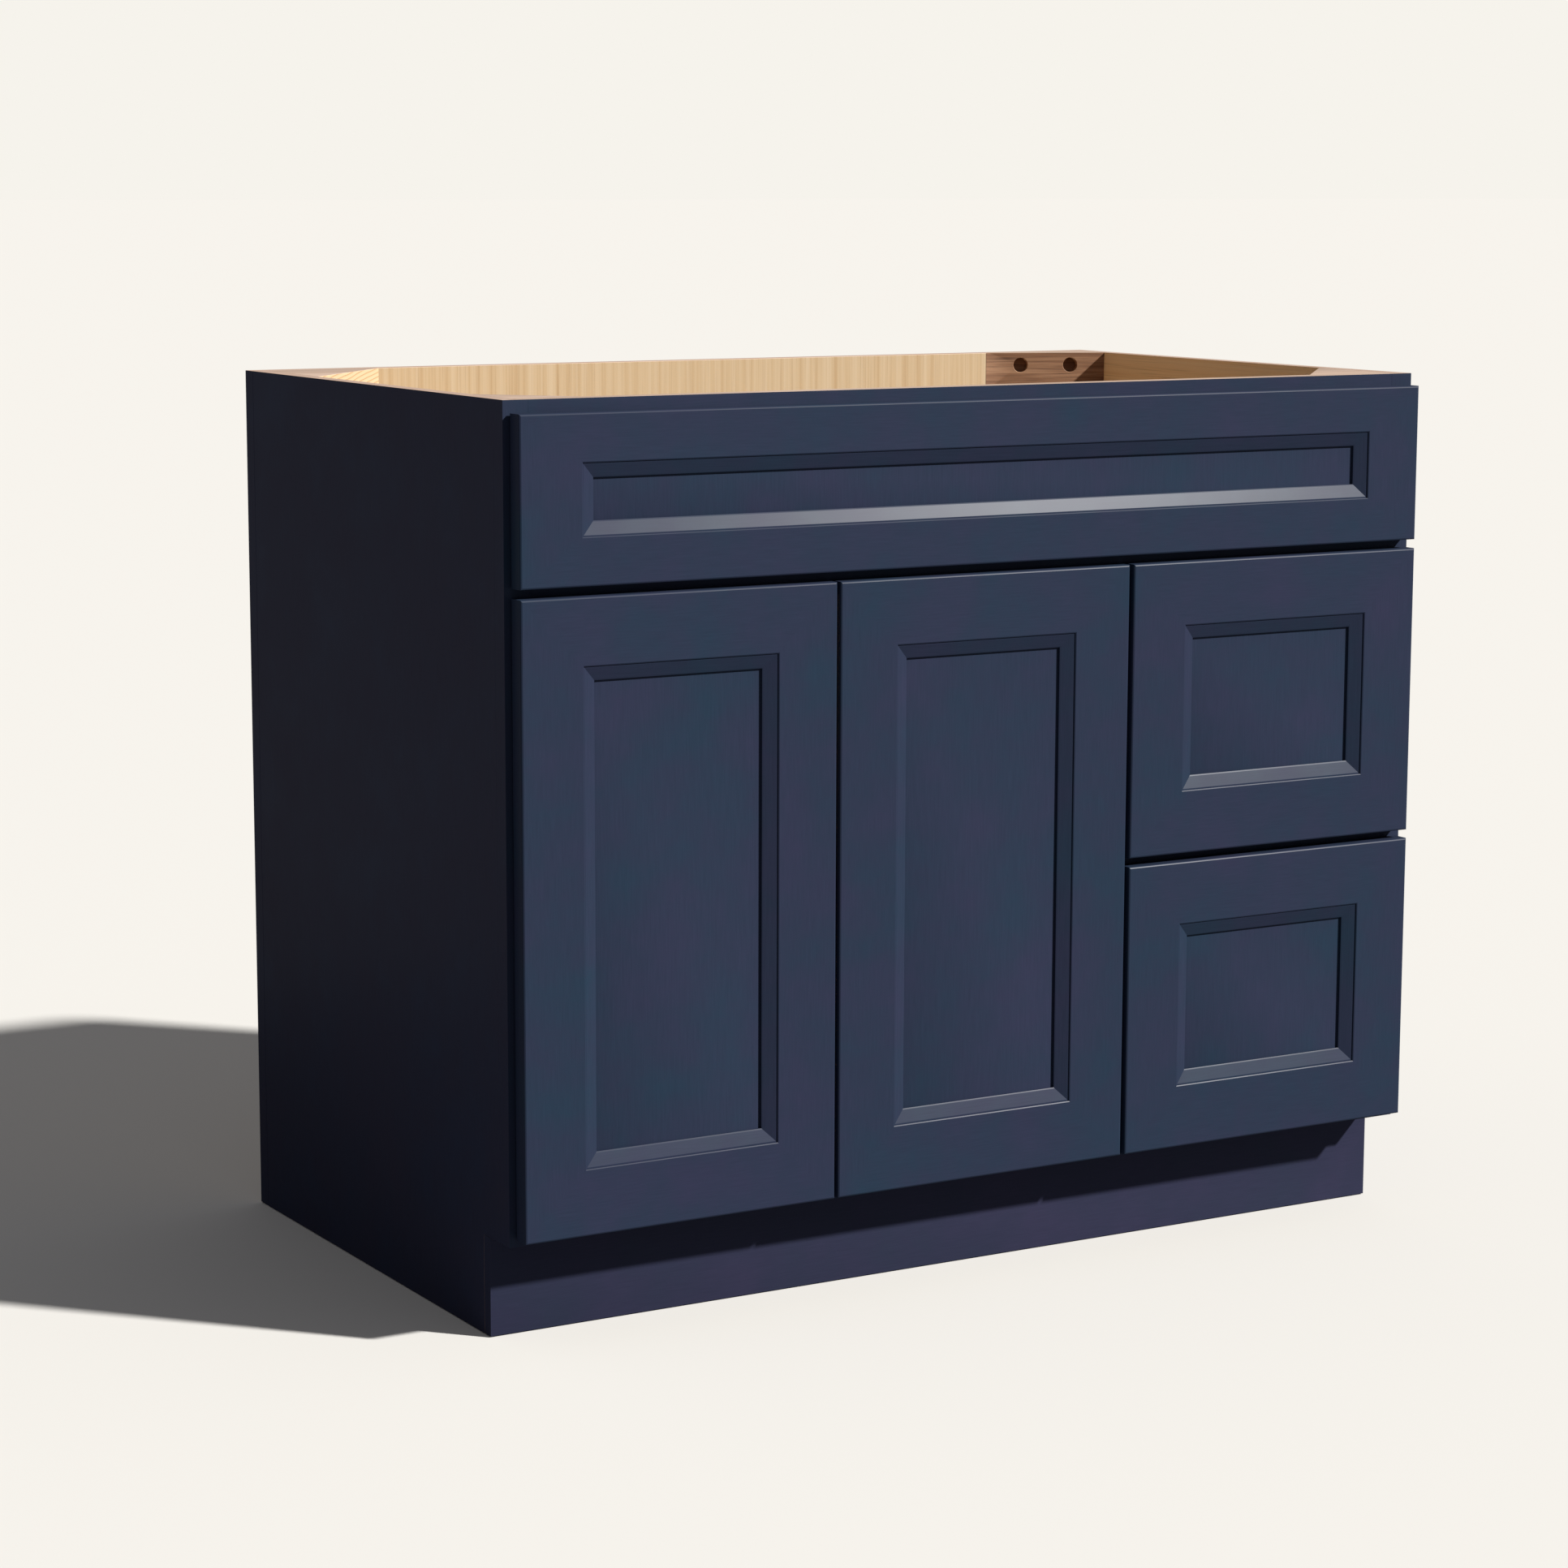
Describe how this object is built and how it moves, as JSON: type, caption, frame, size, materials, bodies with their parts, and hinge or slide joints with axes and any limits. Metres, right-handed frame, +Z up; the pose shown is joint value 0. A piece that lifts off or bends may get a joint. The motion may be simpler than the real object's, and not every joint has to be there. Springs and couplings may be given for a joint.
{
  "type": "bathroom vanity cabinet",
  "caption": "Navy bathroom vanity cabinet with an open top for a sink, a fixed false front, a pair of butt doors and a stack of drawers, with moulded frame-and-panel fronts and a toe kick.",
  "frame": {"origin": "middle of the footprint on the floor, under the middle of the bounding box", "axes": "+Z up, +X to the cabinet's right as seen from its front, +Y from the doors towards the wall"},
  "size_m": [1.036, 0.616, 0.8763],
  "materials": {
    "navy_lacquer": "satin navy lacquer over wood",
    "birch_plywood": "clear-coated birch plywood",
    "pine_block_wood": "raw sawn pine",
    "brown_block_wood": "raw brown hardwood",
    "nickel_plated_steel": "nickel-plated pressed steel",
    "zinc_plated_steel": "zinc-plated rolled steel"
  },
  "bodies": {
    "cabinet": {"left_side_panel": "navy_lacquer", "right_side_panel": "navy_lacquer", "back_panel": "birch_plywood", "bottom_panel": "birch_plywood", "drawer_partition": "birch_plywood", "toe_kick_board": "navy_lacquer", "left_stile": "navy_lacquer", "right_stile": "navy_lacquer", "mid_stile": "navy_lacquer", "top_rail": "navy_lacquer", "middle_rail": "navy_lacquer", "bottom_rail": "navy_lacquer", "drawer_rail": "navy_lacquer", "corner_block_front_left": "pine_block_wood", "corner_block_front_right": "brown_block_wood", "corner_block_back_left": "pine_block_wood", "corner_block_back_right": "brown_block_wood", "false_front_frame": "navy_lacquer", "false_front_panel": "navy_lacquer", "left_door_upper_hinge_arm": "nickel_plated_steel", "left_door_lower_hinge_arm": "nickel_plated_steel", "right_door_upper_hinge_arm": "nickel_plated_steel", "right_door_lower_hinge_arm": "nickel_plated_steel", "upper_drawer_left_slide_channel": "zinc_plated_steel", "upper_drawer_right_slide_channel": "zinc_plated_steel", "lower_drawer_left_slide_channel": "zinc_plated_steel", "lower_drawer_right_slide_channel": "zinc_plated_steel", "upper_drawer_slide_spacer": "birch_plywood", "lower_drawer_slide_spacer": "birch_plywood"},
    "left_door": {"left_door_frame": "navy_lacquer", "left_door_panel": "navy_lacquer", "left_door_upper_hinge_cup": "nickel_plated_steel", "left_door_lower_hinge_cup": "nickel_plated_steel"},
    "right_door": {"right_door_frame": "navy_lacquer", "right_door_panel": "navy_lacquer", "right_door_upper_hinge_cup": "nickel_plated_steel", "right_door_lower_hinge_cup": "nickel_plated_steel"},
    "upper_drawer": {"upper_drawer_front_frame": "navy_lacquer", "upper_drawer_front_panel": "navy_lacquer", "upper_drawer_left_side": "birch_plywood", "upper_drawer_right_side": "birch_plywood", "upper_drawer_box_front": "birch_plywood", "upper_drawer_box_back": "birch_plywood", "upper_drawer_bottom": "birch_plywood", "upper_drawer_left_slide_rail": "zinc_plated_steel", "upper_drawer_right_slide_rail": "zinc_plated_steel"},
    "upper_drawer_slides": {"upper_drawer_left_slide_middle": "zinc_plated_steel", "upper_drawer_right_slide_middle": "zinc_plated_steel"},
    "lower_drawer": {"lower_drawer_front_frame": "navy_lacquer", "lower_drawer_front_panel": "navy_lacquer", "lower_drawer_left_side": "birch_plywood", "lower_drawer_right_side": "birch_plywood", "lower_drawer_box_front": "birch_plywood", "lower_drawer_box_back": "birch_plywood", "lower_drawer_bottom": "birch_plywood", "lower_drawer_left_slide_rail": "zinc_plated_steel", "lower_drawer_right_slide_rail": "zinc_plated_steel"},
    "lower_drawer_slides": {"lower_drawer_left_slide_middle": "zinc_plated_steel", "lower_drawer_right_slide_middle": "zinc_plated_steel"}
  },
  "joints": [
    {"name": "left_door_hinge", "type": "hinge", "parent": "cabinet", "child": "left_door", "pos_m": [-0.5056, -0.3002, 0.40045], "axis": [0, 0, -1], "range_deg": [0, 95]},
    {"name": "right_door_hinge", "type": "hinge", "parent": "cabinet", "child": "right_door", "pos_m": [0.1486, -0.3002, 0.40045], "axis": [0, 0, 1], "range_deg": [0, 95]},
    {"name": "upper_drawer_slide", "type": "slide", "parent": "cabinet", "child": "upper_drawer", "axis": [0, -1, 0], "range_m": [0, 0.48]},
    {"name": "upper_drawer_slide_middle", "type": "slide", "parent": "cabinet", "child": "upper_drawer_slides", "axis": [0, -1, 0], "range_m": [0, 0.24]},
    {"name": "lower_drawer_slide", "type": "slide", "parent": "cabinet", "child": "lower_drawer", "axis": [0, -1, 0], "range_m": [0, 0.48]},
    {"name": "lower_drawer_slide_middle", "type": "slide", "parent": "cabinet", "child": "lower_drawer_slides", "axis": [0, -1, 0], "range_m": [0, 0.24]}
  ],
  "couplings": [
    {"joint": "upper_drawer_slide_middle", "follows": "upper_drawer_slide", "ratio": 0.5},
    {"joint": "lower_drawer_slide_middle", "follows": "lower_drawer_slide", "ratio": 0.5}
  ]
}
